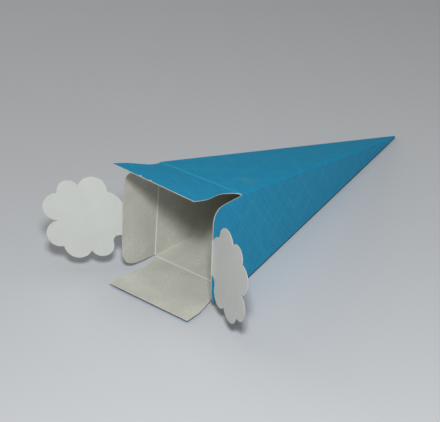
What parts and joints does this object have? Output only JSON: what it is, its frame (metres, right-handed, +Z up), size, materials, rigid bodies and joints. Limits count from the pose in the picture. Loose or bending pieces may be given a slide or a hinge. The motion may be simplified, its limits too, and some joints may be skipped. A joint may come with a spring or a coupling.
{
  "type": "cone favour box",
  "caption": "Open folded card cone favour box: four-sided cone lying on one wall, plain flaps above and below its square mouth, side flaps with cloud-shaped tabs.",
  "frame": {"origin": "centroid of the outer face of the wall that the box lies on, at table height", "axes": "+Z up from the table, +Y along the resting wall from the mouth towards the tip, X across the mouth"},
  "size_m": [0.1186, 0.2137, 0.0605],
  "materials": {
    "blue_card": "matte",
    "white_card": "matte"
  },
  "bodies": {
    "cone": {"cone_body": "blue_card"},
    "left_flap": {"left_flap": "blue_card"},
    "left_cloud": {"left_cloud_tab": "white_card"},
    "right_flap": {"right_flap": "blue_card"},
    "right_cloud": {"right_cloud_tab": "white_card"}
  },
  "joints": [
    {"name": "left_flap_fold", "type": "hinge", "parent": "cone", "child": "left_flap", "pos_m": [-0.0248, -0.05514, 0.02475], "axis": [0, -0.142, -0.9899], "range_deg": [-94.6, 93.5]},
    {"name": "left_cloud_fold", "type": "hinge", "parent": "left_flap", "child": "left_cloud", "pos_m": [-0.02663, -0.07734, 0.02794], "axis": [0, -0.142, -0.9899], "range_deg": [-48.1, 41.9]},
    {"name": "right_flap_fold", "type": "hinge", "parent": "cone", "child": "right_flap", "pos_m": [0.0248, -0.05514, 0.02475], "axis": [0, 0.142, 0.9899], "range_deg": [-98.4, 89.7]},
    {"name": "right_cloud_fold", "type": "hinge", "parent": "right_flap", "child": "right_cloud", "pos_m": [0.02812, -0.07717, 0.02791], "axis": [0, 0.142, 0.9899], "range_deg": [-55.2, 34.8]}
  ],
  "couplings": [
    {"joint": "left_cloud_fold", "follows": "left_flap_fold", "ratio": -0.4428},
    {"joint": "right_cloud_fold", "follows": "right_flap_fold", "ratio": -0.3535}
  ]
}
